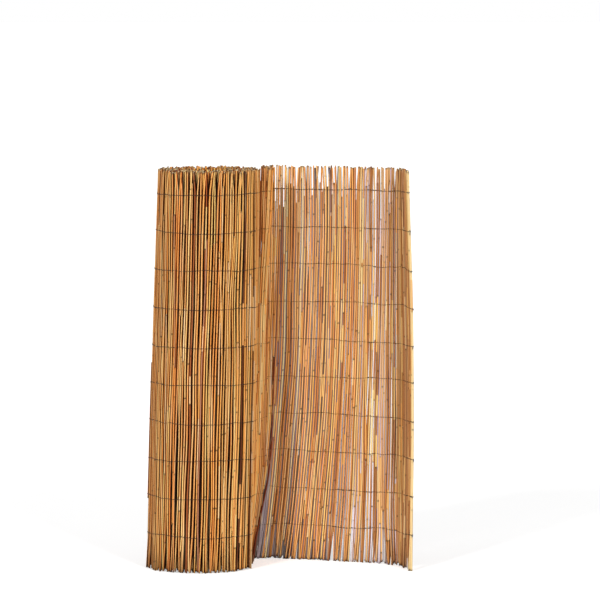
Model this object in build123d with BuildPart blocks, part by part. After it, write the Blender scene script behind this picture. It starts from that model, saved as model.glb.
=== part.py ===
from build123d import *
import os
from math import ceil, pi, sqrt

# A roll of reed screening that stands on end, with its last stretch unrolled beside it.
# Peeled reeds stand side by side, and rows of thin wire bind them into one sheet.
# Millimetres, +Z up, origin on the floor below the middle of the whole object.

# The sheet as it is sold, and its reeds
sheet_height = 1000
reed_diameter = 5.6
reed_pitch = 7.4
reed_sides = 8
end_stagger = 12

# The binding wire
wire_rows = 10
lowest_row_margin = 89
highest_row_margin = 60
wire_thickness = 1.2
wire_clearance = 0.3
wire_bow = 0.4

# The roll. Its bore and its core leave room for the hidden part of a 5 m sheet.
core_radius = 119
bore_radius = 66.4
layer_slack = 1.6
layer_clearance = 0.3
groove_width = 2.4
groove_depth = 15
groove_sides_per_turn = 20

# The unrolled stretch, in the order in which the sheet runs: it leaves the roll,
# turns back behind itself, folds round and hangs away to a curled free end
leave_radius = 20
leave_angle = 68
return_radius = 18
return_angle = 82
back_run = 75
fold_radius = 38
fold_angle = 120
flap_radius = 1300
flap_length = 300
curl_radius = 70
curl_angle = 48
free_run = 85

# Reeds from one bend of the wire to the next
reeds_per_span_roll = 3
reeds_per_span_bend = 1
reeds_per_span_fold = 1.2
reeds_per_span_flap = 10
reeds_per_span_curl = 2

reed_radius = reed_diameter / 2
reed_length = sheet_height - end_stagger
core_height = sheet_height - end_stagger / 2
layer_pitch = reed_diameter + 2 * wire_thickness + layer_slack
quarter_step = layer_pitch / 4
row_spacing = (sheet_height - highest_row_margin - lowest_row_margin) / (wire_rows - 1)
near_side = reed_radius + wire_clearance + wire_bow
far_side = near_side + wire_thickness


def add_outward_turn(start_radius):
    """One turn of a spiral, of four arcs that each widen by a quarter of a layer."""
    start = Vector(start_radius, 0)
    heading = Vector(0, 1)
    for quarter in range(4):
        arc = JernArc(start, heading, start_radius + quarter * quarter_step, 90)
        start = arc @ 1
        heading = arc % 1
    return arc


def add_inward_turns(start_radius, quarters):
    """The same spiral followed inwards, as the joint between the hidden layers."""
    start = Vector(start_radius, 0)
    heading = Vector(0, -1)
    for quarter in range(1, quarters + 1):
        arc = JernArc(start, heading, start_radius - quarter * quarter_step, -90)
        start = arc @ 1
        heading = arc % 1
    return arc


# The middle line of the sheet, seen from above, from its first visible reed on the
# roll's right side to the free end. The roll's axis is this line's origin.
line_radius = core_radius + layer_clearance + reed_radius
with BuildLine() as sheet_line:
    outer_turn = add_outward_turn(line_radius)
    leave = JernArc(outer_turn @ 1, outer_turn % 1, leave_radius, -leave_angle)
    turn_back = JernArc(leave @ 1, leave % 1, return_radius, return_angle)
    back = Line(turn_back @ 1, turn_back @ 1 + (turn_back % 1) * back_run)
    fold = JernArc(back @ 1, back % 1, fold_radius, -fold_angle)
    flap = JernArc(fold @ 1, fold % 1, flap_radius, -flap_length / flap_radius * 180 / pi)
    curl = JernArc(flap @ 1, flap % 1, curl_radius, -curl_angle)
    free = Line(curl @ 1, curl @ 1 + (curl % 1) * free_run)
sheet_path = sheet_line.wire()
laid_length = sheet_path.length
turn_length = sum(edge.length for edge in sheet_line.edges()[:4])
fold_end = turn_length + leave.length + turn_back.length + back.length + fold.length
flap_end = fold_end + flap.length

# The whole object stands centred over the origin, so the roll's axis lies beside it
plan_box = sheet_path.bounding_box()
plan_middle = plan_box.center()
stand = Plane(origin=(-plan_middle.X, -plan_middle.Y, 0))

# Whole quarter turns of the hidden layers, with the innermost one left round the bore
hidden_quarters = int((core_radius - bore_radius) / quarter_step) - 1


def reed_stations(first, last):
    """Distances along the sheet of the reeds from one station up to another."""
    count = int(laid_length / reed_pitch)
    stations = [reed_radius + layer_clearance + i * reed_pitch for i in range(count)]
    return [s for s in stations if first <= s < last]


def beside(station, side):
    """The point beside the sheet's middle line, to its right by the distance side."""
    point = sheet_path.position_at(station, position_mode=PositionMode.LENGTH)
    heading = sheet_path.tangent_at(station, position_mode=PositionMode.LENGTH)
    return point + Vector(heading.Y, -heading.X) * side


def reed_foot(station):
    """How high a reed starts above the floor: the cut ends are uneven."""
    golden = (sqrt(5) - 1) / 2
    return end_stagger * (round(station / reed_pitch) * golden % 1)


# The hidden layers are one turned body. Its outline is the spiral that the outer
# turn lies against, and a spiral groove in each end parts the layers.
with BuildLine() as layer_joint:
    add_inward_turns(core_radius, hidden_quarters)
joint_path = layer_joint.wire()
groove_points = hidden_quarters * groove_sides_per_turn // 4
with BuildPart() as rolled_turns:
    with BuildSketch(stand) as core_plan:
        with BuildLine() as core_outline:
            outline_end = add_outward_turn(core_radius)
            Line(outline_end @ 1, (core_radius, 0))
        make_face()
        Circle(bore_radius, mode=Mode.SUBTRACT)
    extrude(amount=core_height)
    for end_plane in (stand, stand.offset(core_height - groove_depth)):
        with BuildSketch(end_plane) as groove:
            inner_side = []
            outer_side = []
            for i in range(groove_points + 1):
                middle = joint_path.position_at(i / groove_points)
                outward = middle.normalized() * groove_width / 2
                inner_side.append(middle - outward)
                outer_side.append(middle + outward)
            with BuildLine():
                Polyline(*outer_side, *reversed(inner_side), close=True)
            make_face()
        extrude(amount=groove_depth, mode=Mode.SUBTRACT)
rolled_turns.part.label = "rolled_turns"


def make_reeds(first, last):
    """Every reed of one stretch of the sheet, each at its own height."""
    with BuildPart() as reeds:
        for station in reed_stations(first, last):
            foot = beside(station, 0)
            with BuildSketch(stand.offset(reed_foot(station))):
                with Locations(foot):
                    RegularPolygon(reed_radius, reed_sides)
        extrude(amount=reed_length)
    return reeds.part


outer_turn_reeds = make_reeds(0, turn_length)
outer_turn_reeds.label = "outer_turn_reeds"
bend_reeds = make_reeds(turn_length, fold_end)
bend_reeds.label = "bend_reeds"
flap_reeds = make_reeds(fold_end, laid_length)
flap_reeds.label = "flap_reeds"


def span_stations(first, last, reeds_per_span):
    """Even stations over one stretch, a few reeds apart, with its last end left out."""
    spans = ceil((last - first) / (reeds_per_span * reed_pitch))
    return [first + (last - first) * i / spans for i in range(spans)]


# Each row of wire lies along the front of the sheet, goes round the last reed and
# comes back along the rear until the sheet meets the roll.
last_reed = reed_stations(0, laid_length)[-1]
leave_end = turn_length + leave.length
return_end = leave_end + turn_back.length
back_end = return_end + back.length
curl_end = flap_end + curl.length
bend_spans = span_stations(leave_end, return_end, reeds_per_span_bend) + [return_end]
bend_spans += span_stations(back_end, fold_end, reeds_per_span_fold)
flap_spans = span_stations(fold_end, flap_end, reeds_per_span_flap)
flap_spans += span_stations(flap_end, curl_end, reeds_per_span_curl)
flap_spans += [curl_end, last_reed]
front_stations = span_stations(reed_radius, turn_length, reeds_per_span_roll)
front_stations += span_stations(turn_length, leave_end, reeds_per_span_bend)
front_stations += bend_spans + flap_spans
rear_stations = list(reversed(bend_spans + flap_spans))


def strand_side(side):
    """One side of the wire's outline: out along the front, back along the rear."""
    front = [beside(station, side) for station in front_stations]
    rear = [beside(station, -side) for station in rear_stations]
    last_foot = beside(last_reed, 0)
    out = beside(last_reed, side) - last_foot
    tip = [last_foot + out.rotate(Axis.Z, angle) for angle in (45, 90, 135)]
    return front + tip + rear


with BuildSketch() as wire_plan:
    with BuildLine():
        Polyline(*strand_side(far_side), *reversed(strand_side(near_side)), close=True)
    make_face()

binding_wires = []
for row in range(wire_rows):
    row_height = lowest_row_margin + row * row_spacing
    with BuildPart() as binding_wire:
        with BuildSketch(stand.offset(row_height - wire_thickness / 2)):
            add(wire_plan.sketch)
        extrude(amount=wire_thickness)
    binding_wire.part.label = f"binding_wire_{row + 1:02d}"
    binding_wires.append(binding_wire.part)

os.makedirs("parts", exist_ok=True)
for part in [rolled_turns.part, outer_turn_reeds, bend_reeds, flap_reeds] + binding_wires:
    export_step(part, f"parts/{part.label}.step")
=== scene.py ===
import math
from collections import namedtuple

import bpy
import numpy as np
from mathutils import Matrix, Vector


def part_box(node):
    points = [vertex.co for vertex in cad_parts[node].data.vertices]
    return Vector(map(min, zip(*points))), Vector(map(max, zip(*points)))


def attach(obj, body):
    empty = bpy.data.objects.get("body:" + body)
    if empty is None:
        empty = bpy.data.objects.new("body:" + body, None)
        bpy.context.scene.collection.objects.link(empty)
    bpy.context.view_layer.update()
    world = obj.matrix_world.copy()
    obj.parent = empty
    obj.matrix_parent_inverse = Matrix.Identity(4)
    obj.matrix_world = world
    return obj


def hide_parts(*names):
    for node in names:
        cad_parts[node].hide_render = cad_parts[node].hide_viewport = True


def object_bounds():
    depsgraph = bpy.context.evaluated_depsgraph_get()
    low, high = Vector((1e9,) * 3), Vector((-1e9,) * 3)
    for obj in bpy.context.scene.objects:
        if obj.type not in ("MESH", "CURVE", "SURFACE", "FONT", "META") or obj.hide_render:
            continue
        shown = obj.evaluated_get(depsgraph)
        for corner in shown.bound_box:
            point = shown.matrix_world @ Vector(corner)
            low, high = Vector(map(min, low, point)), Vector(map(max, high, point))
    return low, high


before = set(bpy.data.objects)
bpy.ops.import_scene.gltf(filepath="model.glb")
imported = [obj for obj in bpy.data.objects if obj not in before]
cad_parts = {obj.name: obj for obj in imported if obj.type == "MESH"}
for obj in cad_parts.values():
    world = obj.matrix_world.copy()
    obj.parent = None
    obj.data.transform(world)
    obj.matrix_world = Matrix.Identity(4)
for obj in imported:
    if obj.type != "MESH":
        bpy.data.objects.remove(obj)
cad_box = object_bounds()

# Sizes in metres. The sheet's plan is the one that the solids have: most of it is rolled up,
# and the rest leaves the roll, turns back behind itself, folds round and hangs away to a
# curled free end.
HEIGHT = cad_box[1].z
REED_RADIUS = 0.0028
CORE_RADIUS = 0.119
LAYER_PITCH = 0.0096
LAYER_GAP = 0.0003
HIDDEN_QUARTERS = 20
OUTER_QUARTERS = 4
LEAVE_RADIUS, LEAVE_ANGLE = 0.020, 68
RETURN_RADIUS, RETURN_ANGLE = 0.018, 82
BACK_RUN = 0.075
FOLD_RADIUS, FOLD_ANGLE = 0.038, 120
FLAP_RADIUS, FLAP_LENGTH = 1.3, 0.300
CURL_RADIUS, CURL_ANGLE = 0.070, 48
FREE_RUN = 0.085

WIRE_RADIUS = 0.00075
WIRE_ROWS = 10
LOWEST_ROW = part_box("binding_wire_01")[0].z
HIGHEST_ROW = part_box(f"binding_wire_{WIRE_ROWS}")[1].z

rng = np.random.default_rng(20)

NOISE_KNOTS = 512
NOISE_START = 97.0


def ease(f):
    """A share from 0 to 1, with a soft start and a soft end."""
    return f * f * (3 - 2 * f)


def smooth_noise(x, wavelength, seed):
    """A gentle wave through random heights from -1 to 1, one for each wavelength along x."""
    heights = np.random.default_rng(seed).uniform(-1, 1, NOISE_KNOTS)
    t = np.asarray(x) / wavelength + NOISE_START
    i = np.floor(t).astype(int)
    f = ease(t - i)
    return heights[i % NOISE_KNOTS] * (1 - f) + heights[(i + 1) % NOISE_KNOTS] * f


# The sheet's plan

NEARLY_STRAIGHT = 1e-9


def arc(radius, degrees):
    """One run of the plan as its length and its turn in radians, to the left if positive."""
    return radius * math.radians(abs(degrees)), math.radians(degrees)


class SheetPlan:
    """The sheet's middle line seen from above, as runs of constant bend. Station 0 is where
    the visible outer turn begins, and stations below 0 are in the hidden layers."""

    def __init__(self, axis):
        first_radius = CORE_RADIUS + LAYER_GAP + REED_RADIUS
        runs = [arc(first_radius + k * LAYER_PITCH / 4, 90)
                for k in range(-HIDDEN_QUARTERS, OUTER_QUARTERS)]
        runs += [
            arc(LEAVE_RADIUS, -LEAVE_ANGLE),
            arc(RETURN_RADIUS, RETURN_ANGLE),
            (BACK_RUN, 0.0),
            arc(FOLD_RADIUS, -FOLD_ANGLE),
            (FLAP_LENGTH, -FLAP_LENGTH / FLAP_RADIUS),
            arc(CURL_RADIUS, -CURL_ANGLE),
            (FREE_RUN, 0.0),
        ]
        lengths = np.array([length for length, turn in runs])
        turns = np.array([turn for length, turn in runs])
        laid = np.cumsum(lengths)
        self.start = -laid[HIDDEN_QUARTERS - 1]
        ends = laid + self.start
        (self.turn_end, self.leave_end, _, self.fold_start, self.fold_end, self.flap_end,
         _, self.end) = ends[HIDDEN_QUARTERS + OUTER_QUARTERS - 1:]
        self.bend = turns / lengths
        self.s0 = np.concatenate([[self.start], ends[:-1]])
        self.heading0 = math.pi / 2 + np.concatenate([[0], np.cumsum(turns)[:-1]])
        self.point0 = np.zeros((len(runs), 2))
        for i in range(1, len(runs)):
            self.point0[i] = self._along(i - 1, lengths[i - 1])
        station_0 = np.array([axis[0] + first_radius, axis[1]])
        self.point0 += station_0 - self.point0[HIDDEN_QUARTERS]

    def _along(self, i, t):
        """The point t metres into run i, or into each of several runs."""
        bend = self.bend[i]
        h0 = self.heading0[i]
        safe = np.where(np.abs(bend) < NEARLY_STRAIGHT, NEARLY_STRAIGHT, bend)
        h = h0 + safe * t
        x = (np.sin(h) - np.sin(h0)) / safe
        y = (np.cos(h0) - np.cos(h)) / safe
        return self.point0[i] + np.stack([x, y], -1)

    def at(self, s):
        """Points and headings at stations s."""
        s = np.asarray(s, float)
        i = np.clip(np.searchsorted(self.s0, s, side="right") - 1, 0, len(self.s0) - 1)
        t = s - self.s0[i]
        return self._along(i, t), self.heading0[i] + self.bend[i] * t


core_low, core_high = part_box("rolled_turns")
plan = SheetPlan((core_low.x + CORE_RADIUS + LAYER_PITCH / 4, core_high.y - CORE_RADIUS))

# Shares of the height: the fold's foot closes up below the first, and the reeds beside the
# roll open like a fan above the second
TUCK_HEIGHT = 0.25
FAN_HEIGHT = 0.60
FADE_POWER = 1.3


def table(s, pairs):
    """A value read from (station, value) pairs, straight between them."""
    return np.interp(s, [p[0] for p in pairs], [p[1] for p in pairs])


def world_lean(s):
    """Metres that the top stands to the right of the foot, for the sheet as a whole."""
    return table(s, [
        (0, 0.020), (0.40, 0.030), (0.60, 0.024), (plan.turn_end, 0.018),
        (plan.fold_end, 0.026), (plan.flap_end, 0.000), (plan.end, -0.010),
    ])


def slip(s):
    """Metres that a reed's top lies further along the sheet than its foot."""
    return table(s, [
        (plan.start, 0.0), (plan.turn_end - 0.15, 0.0), (plan.turn_end, 0.010),
        (plan.leave_end, 0.030), (plan.fold_end, 0.030), (plan.fold_end + 0.12, 0.036),
        (plan.fold_end + 0.22, 0.026), (plan.flap_end, 0.010), (plan.end - 0.06, 0.0),
        (plan.end, 0.0),
    ])


def bow(s):
    """Metres that the reeds belly out to the right at half height."""
    return table(s, [
        (0, 0.0), (0.25, 0.0), (0.41, -0.002), (0.55, 0.0), (plan.turn_end, 0.0),
        (plan.fold_start, 0.010), (plan.fold_end, 0.017), (plan.fold_end + 0.13, 0.015),
        (plan.flap_end, 0.0), (plan.end - 0.05, 0.007), (plan.end, 0.008),
    ])


def foot_tuck(s):
    """Metres that a foot stands to the left of the plan, where the fold closes up at the
    floor. It fades out upwards."""
    return table(s, [
        (plan.turn_end - 0.02, 0.0), (plan.leave_end, 0.020), (plan.leave_end + 0.026, 0.026),
        (plan.fold_start + 0.04, 0.026), (plan.fold_end - 0.01, 0.0),
    ])


def fan(s):
    """Metres that a top stands to the right of the plan, where the sheet leaves the roll and
    its reeds open like a fan. It fades out downwards."""
    return table(s, [
        (plan.turn_end - 0.12, 0.0), (plan.turn_end - 0.04, -0.008), (plan.turn_end, 0.002),
        (plan.leave_end, 0.008), (plan.leave_end + 0.026, 0.008), (plan.fold_start, 0.0),
    ])


def facing(heading):
    """The level direction in which the sheet's outer face looks. On the flap, that is the
    face towards the camera."""
    return np.stack([np.sin(heading), -np.cos(heading)], -1)


def on_sheet(s_foot, s_top, out_foot, out_top, z):
    """Points at heights z on straight lines from foot to top stations, each end some way out
    from the sheet towards its outer face."""
    foot, h_foot = plan.at(s_foot)
    top, h_top = plan.at(s_top)
    foot = foot + facing(h_foot) * np.asarray(out_foot)[..., None]
    top = top + facing(h_top) * np.asarray(out_top)[..., None]
    f = np.asarray(z) / HEIGHT
    xy = foot + (top - foot) * f[..., None]
    middle = (np.asarray(s_foot) + np.asarray(s_top)) / 2
    x = xy[..., 0] + world_lean(middle) * (f - 0.5) + bow(middle) * np.sin(math.pi * f)
    x = x - foot_tuck(middle) * np.clip(1 - f / TUCK_HEIGHT, 0, 1) ** FADE_POWER
    x = x + fan(middle) * np.clip((f - FAN_HEIGHT) / (1 - FAN_HEIGHT), 0, 1) ** FADE_POWER
    return np.stack([x, xy[..., 1], np.broadcast_to(z, x.shape)], -1)


# Colours of the bare stems and of the leaf sheaths that still wrap some of them, as they
# look in daylight, with how often each comes
BARE_TONES = (
    ((1.00, 0.77, 0.44), 32),
    ((1.00, 0.70, 0.36), 22),
    ((1.00, 0.84, 0.54), 30),
    ((0.84, 0.54, 0.25), 9),
    ((0.64, 0.38, 0.18), 4),
    ((0.76, 0.58, 0.43), 3),
)
SIDE_TONES = (
    ((1.00, 0.77, 0.44), 42),
    ((0.98, 0.69, 0.36), 32),
    ((0.78, 0.49, 0.25), 8),
    ((0.42, 0.23, 0.11), 18),
)
GOLDEN_TONES = (
    ((1.00, 0.80, 0.52), 36),
    ((0.98, 0.72, 0.42), 26),
    ((1.00, 0.90, 0.69), 18),
    ((0.86, 0.60, 0.35), 13),
    ((0.68, 0.46, 0.30), 7),
)
DULL_TONES = (
    ((0.97, 0.66, 0.35), 35),
    ((0.90, 0.57, 0.28), 28),
    ((1.00, 0.76, 0.45), 24),
    ((0.73, 0.45, 0.24), 13),
)
PALE_TONES = (
    ((0.88, 0.69, 0.46), 36),
    ((0.84, 0.62, 0.38), 30),
    ((0.94, 0.78, 0.57), 14),
    ((0.74, 0.51, 0.31), 20),
)
SHEATH_TONES = (
    ((1.00, 0.82, 0.54), 50),
    ((1.00, 0.88, 0.66), 25),
    ((1.00, 0.76, 0.44), 25),
)
# Grey tones of the thin reeds behind the fold and the flap: weathered reeds, darkened as painted
# shade for what shows through the gaps
WEATHERED_AND_SHADE_TONES = (
    ((0.64, 0.61, 0.64), 36),
    ((0.54, 0.51, 0.52), 26),
    ((0.45, 0.40, 0.38), 20),
    ((0.80, 0.59, 0.39), 18),
)
# Pale lavender-grey ones behind the free end, weathered reeds that are also painted shade for
# what shows through the gaps there
PALE_WEATHERED_AND_SHADE_TONES = (
    ((0.90, 0.88, 0.93), 50),
    ((0.76, 0.72, 0.72), 30),
    ((0.90, 0.70, 0.48), 20),
)
# Painted light: the pale tone of the last reeds, bright as if strongly lit
PAINTED_LIGHT_TONE = np.array((1.00, 0.90, 0.66))
LOOSE_TONE = np.array((0.44, 0.18, 0.07))
SHADE_GREY_FOOT = np.array((0.62, 0.58, 0.60))
PITH_TONE = np.array((0.84, 0.76, 0.60))
# Painted shade for the layers inside the roll, which show in its gaps
ROLL_SHADE_TONE = np.array((0.09, 0.03, 0.012))

# How much of each primary the painted shade on a reed's sides takes away, where they face
# the neighbouring reeds, and how it sets in from the middle outwards: blue goes first, which
# leaves an orange-brown flank
SIDE_SHADE = np.array((0.76, 0.94, 0.99))
SIDE_SHADE_SPREAD = np.array((1.4, 0.9, 0.6))
UNSHADED_FRONT = 0.36
FULL_SHADE_FROM = 0.93

# How far a reed may be off its tone in level and in each primary
TONE_LEVEL = (0.92, 1.06)
TONE_HUE = 0.012


def linear(c):
    """An sRGB colour as the linear values that a material holds."""
    c = np.asarray(c, float)
    return np.where(c <= 0.04045, c / 12.92, ((c + 0.055) / 1.055) ** 2.4)


def pick_tone(tones):
    """One of the tones, a little lighter, darker or off in hue."""
    weights = np.array([weight for tone, weight in tones], float)
    tone = np.array(tones[rng.choice(len(tones), p=weights / weights.sum())][0])
    return np.clip(tone * rng.uniform(*TONE_LEVEL) + rng.normal(0, TONE_HUE, 3), 0.05, 1)


# How the reeds of one stretch lie: their pitch, the share that is full height, the share of
# gaps with a thin reed behind, and of reeds with another leaning across, how much they sway
# and how thick they are beside the usual, their tones, and how much painted shade darkens
# their sides
Look = namedtuple("Look", "pitch full filled crossed sway thickness tones filler_tones grime")
ROLL = Look(0.0069, 0.76, 0.04, 0.11, 1.3, 0.90, BARE_TONES, DULL_TONES, 1.0)
ROLL_SIDE = Look(0.0090, 0.76, 0.05, 0.18, 1.6, 0.92, SIDE_TONES, DULL_TONES, 0.38)
BEND = Look(0.0062, 0.80, 0.70, 0.14, 1.0, 0.95, BARE_TONES, DULL_TONES, 0.55)
FOLD = Look(0.0056, 0.70, 1.00, 0.03, 0.6, 0.88, GOLDEN_TONES, WEATHERED_AND_SHADE_TONES, 0.45)
FLAP = Look(0.0072, 0.50, 1.00, 0.03, 0.5, 0.87, GOLDEN_TONES, WEATHERED_AND_SHADE_TONES, 0.55)
FREE_END = Look(0.0071, 0.55, 0.72, 0.03, 0.7, 0.98, PALE_TONES, PALE_WEATHERED_AND_SHADE_TONES, 0.45)

# How long the roll's side and the bright end are, how far past the fold the flap's look
# changes, and how far the reeds stand off their even pitch
ROLL_SIDE_LENGTH = 0.12
FLAP_CHANGE = 0.185
BRIGHT_END = 0.012
PLACE_JITTER = 0.0007
FILLER_JITTER = 0.0004

# Ranges for a reed of one kind: its radius at the butt and at the tip, and how far out from
# the sheet's middle it lies
Stem = namedtuple("Stem", "butt tip out")
WHOLE = Stem((0.0025, 0.0031), (0.0019, 0.0024), (-0.0006, 0.0010))
FILLER = Stem((0.0026, 0.0031), (0.0021, 0.0026), (-0.0038, -0.0024))
BEHIND = Stem((0.0020, 0.0024), (0.0016, 0.0020), (-0.0034, -0.0024))
CROSSING = Stem((0.0020, 0.0025), (0.0016, 0.0020), (0.0022, 0.0032))
HIDDEN = Stem((0.0025, 0.0033), (0.0021, 0.0027), (-0.0008, 0.0008))

# The same for the reeds slipped in behind, the bright ones at the free edge and the loose
# one, and the pitches of those behind and of those in the hidden layers
BACK_BUTT, BACK_TIP, BACK_OUT = 0.0028, 0.0024, (-0.0075, -0.0055)
BRIGHT_BUTT, BRIGHT_TIP = 0.0029, 0.0023
LOOSE_BUTT, LOOSE_TIP = 0.0027, 0.0020
BACK_PITCH = 0.0034
HIDDEN_PITCH = 0.0069

# How ragged the cut ends are, in the open and inside the roll, and how much shorter than
# the sheet a reed may be and still count as full height
RAGGED = 0.010
RAGGED_INSIDE = 0.014
FULL_SLACK = 0.04

# Reeds that end below the top or start above the floor: the least by which they do and how
# much more they may, and the share of the fillers that end low
LOW_TOP, LOW_TOP_RANGE = 0.02, 0.27
HIGH_FOOT, HIGH_FOOT_RANGE = 0.02, 0.24
LOW_FILLER, LOW_FILLER_RANGE = 0.030, 0.11
LOW_FILLERS = 0.65

# Reeds that lean across others: where their middles are as shares of the height, half their
# lengths, and metres sideways for each metre up
CROSSING_MIDDLE = (0.12, 0.88)
CROSSING_HALF = (0.07, 0.20)
CROSSING_LEAN = (0.02, 0.05)

# How far a reed wanders in waves of three lengths, how far its foot and then its top splay,
# along the sheet and out from it, and how its ends are cut: how far aslant and how dark.
# All reeds near one place drift together, and none reaches past the sheet's edge.
SWINGS = (0.0010, 0.0006, 0.0003)
SWING_TURNS = np.array([1.1, 2.1, 3.7])
SPLAY = (0.0030, 0.0014, 0.0022, 0.0012)
OUT_DRIFT = 0.0005
END_TILT = 0.5
END_SHADES = (0.45, 0.7, 1.0)
EDGE_INSET = 0.001
DRIFT, DRIFT_LENGTH, DRIFT_HEIGHT, DRIFT_ROWS = 0.0022, 0.055, 0.17, 8

# Joints, the sheaths that start or end at them, and how dark the joints are
FIRST_JOINT = (0.02, 0.18)
JOINT_SPACING = (0.10, 0.21)
LAST_JOINT = 0.012
JOINT_REACH = 0.0028
JOINT_SWELL = 1.10
JOINT_SHADE, JOINT_SHADE_RANGE, JOINT_SCATTER = 0.10, 0.60, 997
SHEATHED = 0.24
SHEATH_SHARE = (0.3, 1.0)
SHEATH_SWELL = 1.05

# A band of grey feet, painted shade, where the fold closes up: the station it starts from,
# past the start of the fold, its left and right edge, its top and how it fades there, and how
# much of the sides' painted shade it lacks. A reed with no grey has its top below the floor.
GREY_STATION = 0.02
GREY_LEFT, GREY_RIGHT = -0.064, -0.053
GREY_TOP = 0.26
GREY_FADE = 0.05
GREY_UNSHADED = 0.8
NO_GREY = -1.0

# The loose reed's way up, from its foot near the roll to its top on the flap
LOOSE_PATH = (
    (-0.071, 0.000, 0.012), (-0.064, 0.006, 0.070), (-0.045, 0.020, 0.160),
    (-0.030, 0.034, 0.235), (-0.022, 0.060, 0.380), (-0.0185, 0.080, 0.520),
)


# Reeds

def drift(s, z):
    """Metres that all the reeds near one place have shifted together along the sheet."""
    knots = np.asarray(z) / DRIFT_HEIGHT
    k = np.floor(knots).astype(int)
    f = ease(knots - k)
    shifts = np.stack([smooth_noise(s, DRIFT_LENGTH, 300 + row) for row in range(DRIFT_ROWS)])
    return DRIFT * (shifts[k] * (1 - f) + shifts[k + 1] * f)


def joint_shade(z):
    """How dark the joint at a height is, from 0 to 1: few of them are very dark."""
    return JOINT_SHADE + JOINT_SHADE_RANGE * (z * JOINT_SCATTER % 1) ** 2


class Reed:
    """One stem: its stations at the floor and at full height, its ends, thickness and tones.
    Its thick end is either at the foot or at the top."""

    def __init__(self, s, out, z0, z1, butt, tip, butt_down, tone, sway=1.0, grime=1.0, lean=0.0):
        along = slip(s)
        limit = plan.end - EDGE_INSET
        self.s_foot = min(s - along / 2, limit)
        self.s_top = min(s + along / 2, limit)
        self.heading = plan.at((self.s_foot + self.s_top) / 2)[1]
        self.out_foot = out
        self.out_top = out + rng.uniform(-OUT_DRIFT, OUT_DRIFT)
        self.z0, self.z1 = z0, z1
        self.r0, self.r1 = (butt, tip) if butt_down else (tip, butt)
        self.tone = tone
        self.grime = grime
        self.lean = lean
        self.grey_to = NO_GREY
        self.sheath_tone = pick_tone(SHEATH_TONES)
        self.swings = sway * rng.normal(0, SWINGS)
        self.phases = rng.uniform(0, 2 * math.pi, 3)
        self.splay = rng.normal(0, SPLAY)
        self.tilt = rng.uniform(-END_TILT, END_TILT, 4)
        self.end_shade = rng.choice(END_SHADES, 2)
        self.joints = []
        z = z0 + rng.uniform(*FIRST_JOINT)
        while z < z1 - LAST_JOINT:
            self.joints.append(z)
            z += rng.uniform(*JOINT_SPACING)
        self.sheaths = []
        for low, high in zip(self.joints, self.joints[1:]):
            length = (high - low) * rng.uniform(*SHEATH_SHARE)
            if rng.uniform() < SHEATHED:
                self.sheaths.append((low, low + length) if butt_down else (high - length, high))

    def radius(self, z):
        f = np.clip((z - self.z0) / (self.z1 - self.z0), 0, 1)
        return self.r0 + (self.r1 - self.r0) * f

    def wander(self, z):
        """Metres that this reed has shifted along the sheet at a height."""
        f = np.asarray(z, float) / HEIGHT
        waves = np.sin(f[..., None] * (SWING_TURNS * 2 * math.pi) + self.phases)
        own = (self.swings * waves).sum(-1)
        return own + drift(self.s_foot, z) + self.lean * (z - (self.z0 + self.z1) / 2)

    def station(self, z):
        return self.s_foot + (self.s_top - self.s_foot) * z / HEIGHT + self.wander(z)

    def out(self, z):
        return self.out_foot + (self.out_top - self.out_foot) * z / HEIGHT

    def centre(self, z):
        """Points of the stem's middle line. Its ends splay beyond the outer rows of wire."""
        z = np.asarray(z, float)
        shift = self.wander(z)
        p = on_sheet(self.s_foot + shift, self.s_top + shift,
                     np.full(z.shape, self.out_foot), np.full(z.shape, self.out_top), z)
        along = np.array([math.cos(self.heading), math.sin(self.heading)])
        outward = facing(self.heading)
        below = np.clip((LOWEST_ROW - z) / LOWEST_ROW, 0, 1)[:, None]
        above = np.clip((z - HIGHEST_ROW) / (HEIGHT - HIGHEST_ROW), 0, 1)[:, None]
        p[:, :2] += below * (along * self.splay[0] + outward * self.splay[1])
        p[:, :2] += above * (along * self.splay[2] + outward * self.splay[3])
        return p


class LooseReed(Reed):
    """A reed that leans by itself over the foot of the fold, through points set in space."""

    def __init__(self, path, butt, tip, tone):
        super().__init__(plan.leave_end, 0.0, path[0][2], path[-1][2], butt, tip, True, tone)
        self.path = np.array(path)

    def centre(self, z):
        heights = self.path[:, 2]
        return np.stack([np.interp(z, heights, self.path[:, 0]),
                         np.interp(z, heights, self.path[:, 1]), np.asarray(z, float)], -1)


def ragged(spread=RAGGED):
    """How far a cut end stays inside the sheet's edge."""
    return spread * rng.beta(1.2, 3.0)


def either_way():
    """Whether a reed stands on its butt."""
    return rng.uniform() < 0.5


def whole_reed(s, look):
    """A thick reed of full height or, for a share of them, one that ends short below the
    sheet's top or starts above the floor."""
    kind = rng.uniform()
    foot, top = ragged(), HEIGHT - ragged()
    butt_down = either_way()
    if look.full < kind < (1 + look.full) / 2:
        top = HEIGHT - LOW_TOP - LOW_TOP_RANGE * rng.beta(1.3, 2.0)
        butt_down = True
    elif kind >= (1 + look.full) / 2:
        foot = HIGH_FOOT + HIGH_FOOT_RANGE * rng.beta(1.3, 2.4)
        butt_down = False
    butt = look.thickness * rng.uniform(*WHOLE.butt)
    tip = look.thickness * rng.uniform(*WHOLE.tip)
    out = rng.uniform(*WHOLE.out)
    tone = pick_tone(look.tones)
    return Reed(s, out, foot, top, butt, tip, butt_down, tone, look.sway, look.grime)


def filler_reed(s, look):
    """A reed that lies behind the gap between two others and often ends below their tops."""
    foot, top = ragged(), HEIGHT - ragged()
    if rng.uniform() < LOW_FILLERS:
        top = HEIGHT - LOW_FILLER - LOW_FILLER_RANGE * rng.beta(1.3, 2.4)
    butt = rng.uniform(*FILLER.butt)
    tip = rng.uniform(*FILLER.tip)
    out = rng.uniform(*FILLER.out)
    tone = pick_tone(look.filler_tones)
    return Reed(s, out, foot, top, butt, tip, either_way(), tone, look.sway, look.grime)


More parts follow.
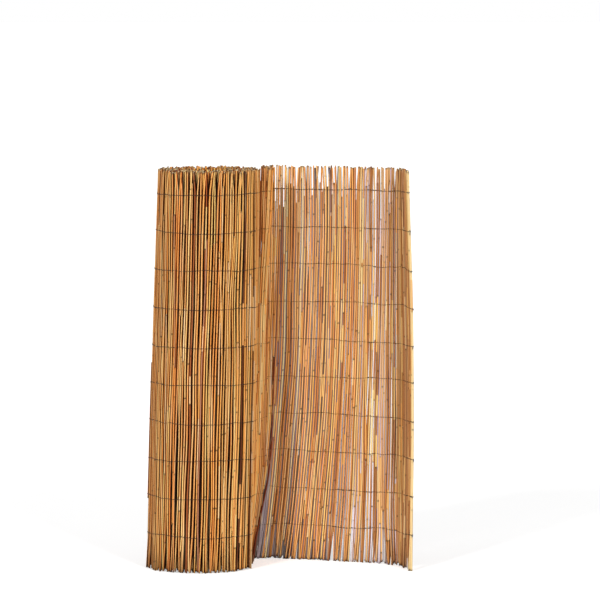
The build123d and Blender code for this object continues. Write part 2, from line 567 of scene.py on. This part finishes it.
def reed_behind(s, look):
    """A thin full reed behind a short one, which shows where the short one ends."""
    out = rng.uniform(*BEHIND.out)
    butt = rng.uniform(*BEHIND.butt)
    tip = rng.uniform(*BEHIND.tip)
    tone = pick_tone(look.tones)
    foot, top = ragged(), HEIGHT - ragged()
    return Reed(s, out, foot, top, butt, tip, either_way(), tone, look.sway, look.grime)


def crossing_reed(s, look):
    """A short thin reed that lies in front of the others and leans across them."""
    middle = HEIGHT * rng.uniform(*CROSSING_MIDDLE)
    half = rng.uniform(*CROSSING_HALF)
    foot = max(middle - half, ragged())
    top = min(middle + half, HEIGHT - ragged())
    lean = rng.choice((-1, 1)) * rng.uniform(*CROSSING_LEAN)
    butt = rng.uniform(*CROSSING.butt)
    tip = rng.uniform(*CROSSING.tip)
    tone = pick_tone(SHEATH_TONES if either_way() else look.tones)
    out = rng.uniform(*CROSSING.out)
    return Reed(s, out, foot, top, butt, tip, either_way(), tone, look.sway, look.grime, lean)


def make_reeds(first, last, look):
    """The reeds of one stretch: thick ones at an even pitch, with thin ones in some gaps."""
    reeds = []
    count = round((last - first) / look.pitch)
    for i in range(count):
        s = first + (last - first) * (i + 0.5) / count
        reed = whole_reed(s + rng.uniform(-PLACE_JITTER, PLACE_JITTER), look)
        reeds.append(reed)
        if reed.z1 - reed.z0 < HEIGHT - FULL_SLACK:
            reeds.append(reed_behind(s, look))
        if rng.uniform() < look.crossed:
            reeds.append(crossing_reed(s, look))
        if rng.uniform() < look.filled:
            between = s + look.pitch / 2 + rng.uniform(-FILLER_JITTER, FILLER_JITTER)
            reeds.append(filler_reed(between, look))
    return reeds


def back_fillers(first, last, tones, lowest_top, highest_top):
    """Reeds slipped in behind a stretch, which close its widest gaps. The heights of their
    tops are given as shares of the sheet's."""
    reeds = []
    for s in np.arange(first, last, BACK_PITCH):
        top = HEIGHT * rng.uniform(lowest_top, highest_top)
        reeds.append(Reed(s, rng.uniform(*BACK_OUT), ragged(), top, BACK_BUTT, BACK_TIP, True,
                          pick_tone(tones), sway=0.3, grime=0.3))
    return reeds


def bright_end_reeds():
    """The last reeds of the sheet, whose pale tone is painted light for the light they catch."""
    reeds = []
    for share in (0.75, 0.25):
        reeds.append(Reed(plan.end - share * BRIGHT_END, 0.0, ragged(), HEIGHT - ragged(),
                          BRIGHT_BUTT, BRIGHT_TIP, True, PAINTED_LIGHT_TONE, sway=0.5, grime=0.15))
    return reeds


def make_hidden_reeds():
    """The reeds of the layers inside the roll, which show only at its ends and in its gaps."""
    reeds = []
    for s in np.arange(plan.start + HIDDEN_PITCH / 2, -HIDDEN_PITCH / 3, HIDDEN_PITCH):
        out = rng.uniform(*HIDDEN.out)
        foot, top = ragged(RAGGED_INSIDE), HEIGHT - ragged(RAGGED_INSIDE)
        butt = rng.uniform(*HIDDEN.butt)
        tip = rng.uniform(*HIDDEN.tip)
        reeds.append(Reed(s, out, foot, top, butt, tip, either_way(), pick_tone(BARE_TONES)))
    return reeds


# Meshes

SIDES = 10
HIDDEN_SIDES = 7
WIRE_SIDES = 5

# Rings along a reed: even ones, and close ones at its ends, joints and sheaths
RING_SPACING = 0.045
HIDDEN_RINGS = 9
END_SHADED = 0.007
JOINT_RINGS = (-0.003, -0.001, 0.001, 0.003)
SHEATH_EDGE = 0.0004

# A cut end: how much of its radius is wall, how deep its hole is and how dark
WALL = 0.45
CUT_DEPTH = 0.006
HOLE_SHADE = 0.16

# Darkening towards the floor, and the painted shade that darkens a reed inside the roll away
# from its ends
FOOT_DARKENING = 0.25
FOOT_DARKENING_HEIGHT = 0.06
LIT_END = 0.006
DEEP_FROM = 0.03
ROLL_SHADE_SHARE = 0.9


def ring_heights(reed, hidden):
    """Heights of a reed's rings: even ones, and close ones where its colour changes."""
    if hidden:
        zs = set(np.linspace(reed.z0, reed.z1, HIDDEN_RINGS))
        for depth in (LIT_END, DEEP_FROM):
            zs.update((reed.z0 + depth, reed.z1 - depth))
        return np.array(sorted(zs))
    rings = max(3, int((reed.z1 - reed.z0) / RING_SPACING))
    zs = set(np.linspace(reed.z0, reed.z1, rings))
    zs.update((reed.z0 + END_SHADED, reed.z1 - END_SHADED))
    for z in reed.joints:
        zs.update(z + offset for offset in JOINT_RINGS)
    for edge in (z for sheath in reed.sheaths for z in sheath):
        zs.update((edge - SHEATH_EDGE, edge + SHEATH_EDGE))
    zs = np.array(sorted(zs))
    return zs[(zs >= reed.z0) & (zs <= reed.z1)]


def ring_features(reed, zs):
    """For each ring whether a sheath wraps it, how near it is to a joint and how dark the
    joint makes it, each from 0 to 1."""
    sheathed, near, shade = np.zeros((3, len(zs)))
    for low, high in reed.sheaths:
        sheathed = np.maximum(sheathed, (zs > low) & (zs < high))
    for z in reed.joints:
        nearness = np.clip(1 - np.abs(zs - z) / JOINT_REACH, 0, 1)
        near = np.maximum(near, nearness)
        shade = np.maximum(shade, nearness * joint_shade(z))
    return sheathed, near, shade


def ring_tones(reed, zs, sheathed, shade, side_shade, hidden):
    """The colour of every point of a reed's rings. The sides that face the neighbouring
    reeds are darkened by painted shade, and so are the layers inside the roll."""
    tone = reed.tone + (reed.sheath_tone - reed.tone) * sheathed[:, None]
    tone = tone * (1 - shade[:, None])
    # The feet are darker towards the floor
    near_floor = np.clip(1 - zs / FOOT_DARKENING_HEIGHT, 0, 1)
    tone = tone * (1 - FOOT_DARKENING * reed.grime * near_floor)[:, None]
    # Painted shade: grey on the feet where the fold closes up
    grey = np.clip((reed.grey_to - zs) / GREY_FADE, 0, 1)
    tone = tone + (SHADE_GREY_FOOT - tone) * grey[:, None]
    for shade_at_end, depth in zip(reed.end_shade, (zs - reed.z0, reed.z1 - zs)):
        inner = np.clip(depth / END_SHADED, 0, 1)
        tone = tone * (shade_at_end + (1 - shade_at_end) * inner)[:, None]
    # Painted shade: a reed inside the roll darkens away from its lit ends
    if hidden:
        depth = np.minimum(zs - reed.z0, reed.z1 - zs)
        inside = np.clip((depth - LIT_END) / (DEEP_FROM - LIT_END), 0, 1)
        tone = tone + (ROLL_SHADE_TONE - tone) * inside[:, None] * ROLL_SHADE_SHARE
    # Painted shade on the sides that face the neighbouring reeds
    flank_shade = (reed.grime * (1 - GREY_UNSHADED * grey))[:, None, None] * side_shade
    return tone[:, None, :] * (1 - flank_shade)


def stem_rings(reed, zs, radius, circle):
    """Rings of points out of the hole in the foot, over its rim, up the stem, over the rim at
    the top and down into the hole there. Both ends are cut a little aslant."""
    centre = reed.centre(zs)
    rings = centre[:, None] + circle[None] * radius[:, None, None]
    tilt = reed.tilt
    rings[0, :, 2] += (tilt[0] * circle[:, 0] + tilt[1] * circle[:, 1]) * radius[0]
    rings[-1, :, 2] += (tilt[2] * circle[:, 0] + tilt[3] * circle[:, 1]) * radius[-1]
    rings[0, :, 2] = np.maximum(rings[0, :, 2], 0)
    foot_rim = centre[0] + (rings[0] - centre[0]) * (1 - WALL)
    top_rim = centre[-1] + (rings[-1] - centre[-1]) * (1 - WALL)
    depth = np.array([0, 0, CUT_DEPTH])
    return np.stack([foot_rim + depth, foot_rim, *rings, top_rim, top_rim - depth])


def tube_faces(base, rings, sides):
    """The faces of a closed tube whose points start at number base."""
    faces = []
    for i in range(rings - 1):
        a = base + i * sides
        for j in range(sides):
            k = (j + 1) % sides
            faces.append((a + j, a + k, a + sides + k, a + sides + j))
    faces.append(tuple(base + j for j in reversed(range(sides))))
    faces.append(tuple(base + (rings - 1) * sides + j for j in range(sides)))
    return faces


def new_piece(name, tubes, sides):
    """One object of closed tubes, each given as its rings of points. They are smooth round
    their sides and flat at their ends."""
    faces = []
    base = 0
    for rings in tubes:
        faces += tube_faces(base, len(rings), sides)
        base += len(rings) * sides
    points = np.concatenate([rings.reshape(-1, 3) for rings in tubes])
    mesh = bpy.data.meshes.new(name)
    mesh.from_pydata(points.tolist(), [], faces)
    mesh.polygons.foreach_set("use_smooth", [len(face) == 4 for face in faces])
    mesh.update()
    piece = bpy.data.objects.new(name, mesh)
    bpy.context.scene.collection.objects.link(piece)
    return piece


def reed_mesh(name, reeds, hidden=False):
    """All reeds of one stretch as one mesh, with a colour for each point."""
    sides = HIDDEN_SIDES if hidden else SIDES
    angles = np.arange(sides) * 2 * math.pi / sides
    # Painted shade: the sides of each reed, which face its neighbours, are darkened in its
    # colours
    side = np.clip((np.abs(np.sin(angles)) - UNSHADED_FRONT) / (FULL_SHADE_FROM - UNSHADED_FRONT), 0, 1)
    side_shade = side[:, None] ** SIDE_SHADE_SPREAD * SIDE_SHADE
    tubes, colours = [], []
    for reed in reeds:
        zs = ring_heights(reed, hidden)
        sheathed, near, shade = ring_features(reed, zs)
        radius = reed.radius(zs) * (1 + (SHEATH_SWELL - 1) * sheathed)
        radius = radius * (1 + (JOINT_SWELL - 1) * near)
        turned = angles + reed.heading - math.pi / 2
        circle = np.stack([np.cos(turned), np.sin(turned), np.zeros(sides)], -1)
        tubes.append(stem_rings(reed, zs, radius, circle))
        pith = np.broadcast_to(PITH_TONE, (1, sides, 3))
        hole = np.broadcast_to(reed.tone * HOLE_SHADE, (1, sides, 3))
        tones = ring_tones(reed, zs, sheathed, shade, side_shade, hidden)
        colours.append(np.concatenate([hole, pith, tones, pith, hole]).reshape(-1, 3))
    piece = new_piece(name, tubes, sides)
    colours = linear(np.concatenate(colours))
    layer = piece.data.color_attributes.new("reed_colour", "FLOAT_COLOR", "POINT")
    layer.data.foreach_set("color", np.column_stack([colours, np.ones(len(colours))]).ravel())
    return piece


# Binding wire

# Points from one reed to the next, how snugly the strands lie, and how squarely they go
# round a reed; how they wander about their row; and how near a reed's end they hold it
WIRE_SAMPLES = 4
WIRE_SNUG = 0.8
WIRE_SQUARENESS = 0.6
WIRE_WAVE, WIRE_WAVE_LENGTH = 0.0030, 0.085
WIRE_RIPPLE, WIRE_RIPPLE_LENGTH = 0.0014, 0.021
CUT_CLEARANCE = 0.004

# The tail past the last reed: where it starts, its reach, its bend sideways and upwards, its
# twist, the corner by which each strand joins it, and how far apart the strands lie
TAIL_GAP = 0.0006
TAIL_REACH = 0.004
TAIL_SIDEWAYS = (-0.002, 0.007)
TAIL_UPWARDS = (-0.007, 0.004)
TAIL_SAMPLES = 25
TAIL_TWISTS = 2.5
TAIL_CORNER = 0.75
TAIL_WIDTH = 0.9


def wire_mesh(name, lines):
    """Round tubes of wire along several lines, as one mesh."""
    angles = np.arange(WIRE_SIDES) * 2 * math.pi / WIRE_SIDES
    cosines = np.cos(angles)[None, :, None]
    sines = np.sin(angles)[None, :, None]
    tubes = []
    for line in lines:
        run = np.gradient(line, axis=0)
        run /= np.linalg.norm(run, axis=1)[:, None]
        side = np.cross(run, (0, 0, 1.0))
        side /= np.linalg.norm(side, axis=1)[:, None]
        up = np.cross(side, run)
        ring = side[:, None] * cosines + up[:, None] * sines
        tubes.append(line[:, None] + ring * WIRE_RADIUS)
    return new_piece(name, tubes, WIRE_SIDES)


def wire_height(row, s):
    """The wire's height along the sheet: it wanders a little about its row."""
    node_low, node_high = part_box(f"binding_wire_{row + 1:02d}")
    wave = WIRE_WAVE * smooth_noise(s, WIRE_WAVE_LENGTH, row)
    ripple = WIRE_RIPPLE * smooth_noise(s, WIRE_RIPPLE_LENGTH, row + 50)
    return (node_low.z + node_high.z) / 2 + wave + ripple


def wire_row(row, reeds):
    """Two strands that change sides between the reeds, twisted round each of them."""
    crossed = []
    for reed in reeds:
        z = float(wire_height(row, reed.station(HEIGHT / 2)))
        if reed.z0 + CUT_CLEARANCE < z < reed.z1 - CUT_CLEARANCE:
            crossed.append((reed.station(z), reed.out(z), float(reed.radius(z))))
    crossed.sort()
    stations, outs, radii = np.array(crossed).T
    reach = radii + WIRE_RADIUS * WIRE_SNUG
    samples = np.linspace(0, len(crossed) - 1, (len(crossed) - 1) * WIRE_SAMPLES + 1)
    index = np.arange(len(crossed))
    s = np.interp(samples, index, stations)
    middle_out = np.interp(samples, index, outs)
    half = np.interp(samples, index, reach)
    z = wire_height(row, s)
    along = slip(s)
    foot, top = s - along * z / HEIGHT, s + along * (1 - z / HEIGHT)
    swing = np.cos(math.pi * samples)
    swing = np.sign(swing) * np.abs(swing) ** WIRE_SQUARENESS
    lines = []
    for sign in (1, -1):
        out = middle_out + sign * swing * half
        rise = sign * np.sin(math.pi * samples) * WIRE_RADIUS
        lines.append(on_sheet(foot, top, out, out, z + rise))
    tails = wire_tails(row, lines, reach[-1])
    lines = [np.concatenate(pair) for pair in zip(lines, tails)]
    return wire_mesh(f"twisted_wire_{row + 1:02d}", lines)


def wire_tails(row, lines, reach):
    """How the two strands go on from the last reed: twisted together and bent over."""
    heading = plan.at(plan.end)[1]
    along = np.array([math.cos(heading), math.sin(heading), 0])
    outward = np.array([*facing(heading), 0])
    up = np.array([0, 0, 1.0])
    middle = (lines[0][-1] + lines[1][-1]) / 2
    bend = np.random.default_rng(700 + row)
    start = middle + along * (reach + TAIL_GAP)
    knee = start + along * TAIL_REACH
    end = knee + outward * bend.uniform(*TAIL_SIDEWAYS) + up * bend.uniform(*TAIL_UPWARDS)
    t = np.linspace(0, 1, TAIL_SAMPLES)[:, None]
    axis = start * (1 - t) ** 2 + knee * 2 * t * (1 - t) + end * t ** 2
    turn = t * TAIL_TWISTS * 2 * math.pi
    tails = []
    for line in lines:
        side = 1.0 if np.dot(line[-1] - middle, outward) > 0 else -1.0
        corner = middle + (along + outward * side) * reach * TAIL_CORNER
        away = (outward * np.cos(turn) + up * np.sin(turn)) * side
        tails.append(np.concatenate([corner[None], axis + away * WIRE_RADIUS * TAIL_WIDTH]))
    return tails


# Materials

def new_material(name):
    material = bpy.data.materials.new(name)
    material.use_nodes = True
    return material, material.node_tree.nodes, material.node_tree.links


def stretched_noise(nodes, links, coords, across, along, detail):
    """Noise in the object's own space, drawn out along the reeds."""
    mapping = nodes.new("ShaderNodeMapping")
    mapping.inputs["Scale"].default_value = (across, across, along)
    noise = nodes.new("ShaderNodeTexNoise")
    noise.inputs["Scale"].default_value = 1.0
    noise.inputs["Detail"].default_value = detail
    links.new(coords, mapping.inputs["Vector"])
    links.new(mapping.outputs["Vector"], noise.inputs["Vector"])
    return noise.outputs["Fac"]


def remap(nodes, links, value, low_in, high_in, low_out, high_out):
    """A value stretched from one range to another, and held inside it."""
    node = nodes.new("ShaderNodeMapRange")
    for socket, number in zip(("From Min", "From Max", "To Min", "To Max"),
                              (low_in, high_in, low_out, high_out)):
        node.inputs[socket].default_value = number
    links.new(value, node.inputs["Value"])
    return node.outputs["Result"]


def tint(nodes, links, colour, factor, other):
    """A colour, a socket's or a fixed one, mixed with another one by a factor."""
    node = nodes.new("ShaderNodeMix")
    node.data_type = "RGBA"
    links.new(factor, node.inputs["Factor"])
    if isinstance(colour, tuple):
        node.inputs["A"].default_value = (*linear(colour), 1)
    else:
        links.new(colour, node.inputs["A"])
    node.inputs["B"].default_value = (*linear(other), 1)
    return node.outputs["Result"]


def reed_material():
    """Each reed's own tone with brown fibres, pale and dark patches and dark specks."""
    material, nodes, links = new_material("peeled_reed")
    shader = nodes["Principled BSDF"]
    coords = nodes.new("ShaderNodeTexCoord").outputs["Object"]
    tone = nodes.new("ShaderNodeAttribute")
    tone.attribute_name = "reed_colour"
    fibre = stretched_noise(nodes, links, coords, 1400, 14, 3)
    patches = stretched_noise(nodes, links, coords, 160, 4, 2)
    specks = stretched_noise(nodes, links, coords, 700, 260, 2)

    result = tone.outputs["Color"]
    for noise, starts, full, most, other in (
        (fibre, 0.35, 0.70, 0.15, (0.45, 0.24, 0.08)),
        (patches, 0.56, 0.72, 0.35, (1.0, 0.90, 0.66)),
        (patches, 0.42, 0.26, 0.30, (0.50, 0.25, 0.08)),
        (specks, 0.70, 0.80, 0.50, (0.25, 0.14, 0.07)),
    ):
        level = remap(nodes, links, noise, starts, full, 0.0, most)
        result = tint(nodes, links, result, level, other)
    links.new(result, shader.inputs["Base Color"])
    roughness = remap(nodes, links, fibre, 0.3, 0.7, 0.32, 0.50)
    links.new(roughness, shader.inputs["Roughness"])
    bump = nodes.new("ShaderNodeBump")
    bump.inputs["Strength"].default_value = 0.35
    bump.inputs["Distance"].default_value = 0.0004
    links.new(fibre, bump.inputs["Height"])
    links.new(bump.outputs["Normal"], shader.inputs["Normal"])
    shader.inputs["Specular IOR Level"].default_value = 0.12
    return material


def wire_material():
    """Dull, dark annealed wire with a little rust."""
    material, nodes, links = new_material("binding_wire")
    shader = nodes["Principled BSDF"]
    coords = nodes.new("ShaderNodeTexCoord").outputs["Object"]
    rust = stretched_noise(nodes, links, coords, 220, 220, 3)
    level = remap(nodes, links, rust, 0.45, 0.65, 0.0, 0.7)
    result = tint(nodes, links, (0.12, 0.075, 0.06), level, (0.30, 0.15, 0.07))
    links.new(result, shader.inputs["Base Color"])
    links.new(remap(nodes, links, rust, 0.4, 0.7, 0.50, 0.80), shader.inputs["Roughness"])
    shader.inputs["Metallic"].default_value = 0.3
    return material


FLOOR_HALF = 60.0
FLOOR_TONE = 0.86
FLOOR_GLOW = 0.47
WORLD_LIGHT = 0.32


def floor_material():
    """Pale floor that the camera sees as white where it isn't shaded."""
    material, nodes, links = new_material("pale_floor")
    shader = nodes["Principled BSDF"]
    shader.inputs["Base Color"].default_value = (FLOOR_TONE, FLOOR_TONE, FLOOR_TONE, 1)
    shader.inputs["Roughness"].default_value = 0.9
    glow = nodes.new("ShaderNodeEmission")
    glow.inputs["Color"].default_value = (1, 1, 1, 1)
    path = nodes.new("ShaderNodeLightPath")
    level = nodes.new("ShaderNodeMath")
    level.operation = "MULTIPLY"
    level.inputs[1].default_value = FLOOR_GLOW
    links.new(path.outputs["Is Camera Ray"], level.inputs[0])
    links.new(level.outputs[0], glow.inputs["Strength"])
    both = nodes.new("ShaderNodeAddShader")
    links.new(shader.outputs[0], both.inputs[0])
    links.new(glow.outputs[0], both.inputs[1])
    links.new(both.outputs[0], nodes["Material Output"].inputs["Surface"])
    return material


# The object

def finish_piece(piece, material, node):
    """Dress a piece, let it ride on the one body and show it in place of a node."""
    piece.data.materials.append(material)
    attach(piece, "root")
    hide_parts(node)


reed_finish = reed_material()
wire_finish = wire_material()

side_start = plan.turn_end - ROLL_SIDE_LENGTH
outer_reeds = make_reeds(0, side_start, ROLL)
outer_reeds += make_reeds(side_start, plan.turn_end, ROLL_SIDE)

bend_reeds = make_reeds(plan.turn_end, plan.fold_start, BEND)
bend_reeds += make_reeds(plan.fold_start, plan.fold_end, FOLD)
# Behind the bend they reach nearly to the top, and behind the fold and the flap less far
for first, last, tones, lowest_top, highest_top in (
    (plan.turn_end - 0.014, plan.leave_end + 0.026, DULL_TONES, 0.93, 0.985),
    (plan.fold_start + 0.030, plan.fold_end + 0.050, WEATHERED_AND_SHADE_TONES, 0.55, 0.85),
    (plan.fold_end + 0.050, plan.fold_end + 0.150, WEATHERED_AND_SHADE_TONES, 0.14, 0.34),
):
    bend_reeds += back_fillers(first, last, tones, lowest_top, highest_top)
# The feet in the recess where the fold closes up get painted grey shade
for reed in bend_reeds:
    foot_x = reed.centre(np.array([reed.z0]))[0, 0]
    if reed.s_foot > plan.fold_start + GREY_STATION and GREY_LEFT < foot_x < GREY_RIGHT:
        reed.grey_to = GREY_TOP
loose_reed = LooseReed(LOOSE_PATH, LOOSE_BUTT, LOOSE_TIP, LOOSE_TONE)

change = plan.fold_end + FLAP_CHANGE
flap_reeds = make_reeds(plan.fold_end, change, FLAP)
flap_reeds += make_reeds(change, plan.end - BRIGHT_END, FREE_END)
flap_reeds += bright_end_reeds()

for piece_name, node_name, reeds in (
    ("outer_turn_stems", "outer_turn_reeds", outer_reeds),
    ("bend_stems", "bend_reeds", bend_reeds + [loose_reed]),
    ("flap_stems", "flap_reeds", flap_reeds),
):
    finish_piece(reed_mesh(piece_name, reeds), reed_finish, node_name)

hidden_stems = reed_mesh("inner_turn_stems", make_hidden_reeds(), hidden=True)
finish_piece(hidden_stems, reed_finish, "rolled_turns")

for row in range(WIRE_ROWS):
    wire = wire_row(row, outer_reeds + bend_reeds + flap_reeds)
    finish_piece(wire, wire_finish, f"binding_wire_{row + 1:02d}")

# Floor, light and camera

floor_mesh = bpy.data.meshes.new("floor")
floor_mesh.from_pydata([(-FLOOR_HALF, -FLOOR_HALF, 0), (FLOOR_HALF, -FLOOR_HALF, 0),
                        (FLOOR_HALF, FLOOR_HALF, 0), (-FLOOR_HALF, FLOOR_HALF, 0)],
                       [], [(0, 1, 2, 3)])
floor = bpy.data.objects.new("floor", floor_mesh)
bpy.context.scene.collection.objects.link(floor)
floor.data.materials.append(floor_material())


def sun(name, azimuth, elevation, strength, softness):
    """A broad even light from one side of the camera, azimuth in degrees to its right."""
    light = bpy.data.lights.new(name, "SUN")
    light.energy = strength
    light.angle = math.radians(softness)
    lamp = bpy.data.objects.new(name, light)
    lamp.rotation_euler = (math.radians(90 - elevation), 0, math.radians(azimuth))
    bpy.context.scene.collection.objects.link(lamp)


sun("left_light", -28, 26, 1.85, 10)
sun("right_light", 24, 26, 1.65, 10)

# The world is white to the camera and in reflections, and lights the object more softly
world = bpy.data.worlds.new("studio")
world.use_nodes = True
bpy.context.scene.world = world
world_nodes, world_links = world.node_tree.nodes, world.node_tree.links
background = world_nodes["Background"]
background.inputs["Color"].default_value = (1, 1, 1, 1)
light_path = world_nodes.new("ShaderNodeLightPath")
seen = light_path.outputs["Is Camera Ray"]
for ray in ("Is Glossy Ray", "Is Transmission Ray"):
    either = world_nodes.new("ShaderNodeMath")
    either.operation = "MAXIMUM"
    world_links.new(seen, either.inputs[0])
    world_links.new(light_path.outputs[ray], either.inputs[1])
    seen = either.outputs[0]
world_strength = remap(world_nodes, world_links, seen, 0.0, 1.0, WORLD_LIGHT, 1.0)
world_links.new(world_strength, background.inputs["Strength"])

# The camera stands about 12 m in front of the roll, a little above its top
CAMERA_X = 0.047
CAMERA_DISTANCE = 12.0
CAMERA_HEIGHT = 1.634
CAMERA_PITCH = 4.541
FOCAL_PIXELS = 4880
IMAGE_PIXELS = 600
camera_data = bpy.data.cameras.new("camera")
camera_data.sensor_width = 36.0
camera_data.lens = camera_data.sensor_width * FOCAL_PIXELS / IMAGE_PIXELS
camera_data.clip_end = 200
camera = bpy.data.objects.new("camera", camera_data)
camera.location = (CAMERA_X, cad_box[0].y - CAMERA_DISTANCE, CAMERA_HEIGHT)
camera.rotation_euler = (math.radians(90 - CAMERA_PITCH), 0, 0)
bpy.context.scene.collection.objects.link(camera)
bpy.context.scene.camera = camera
bpy.context.scene.view_settings.view_transform = "Standard"
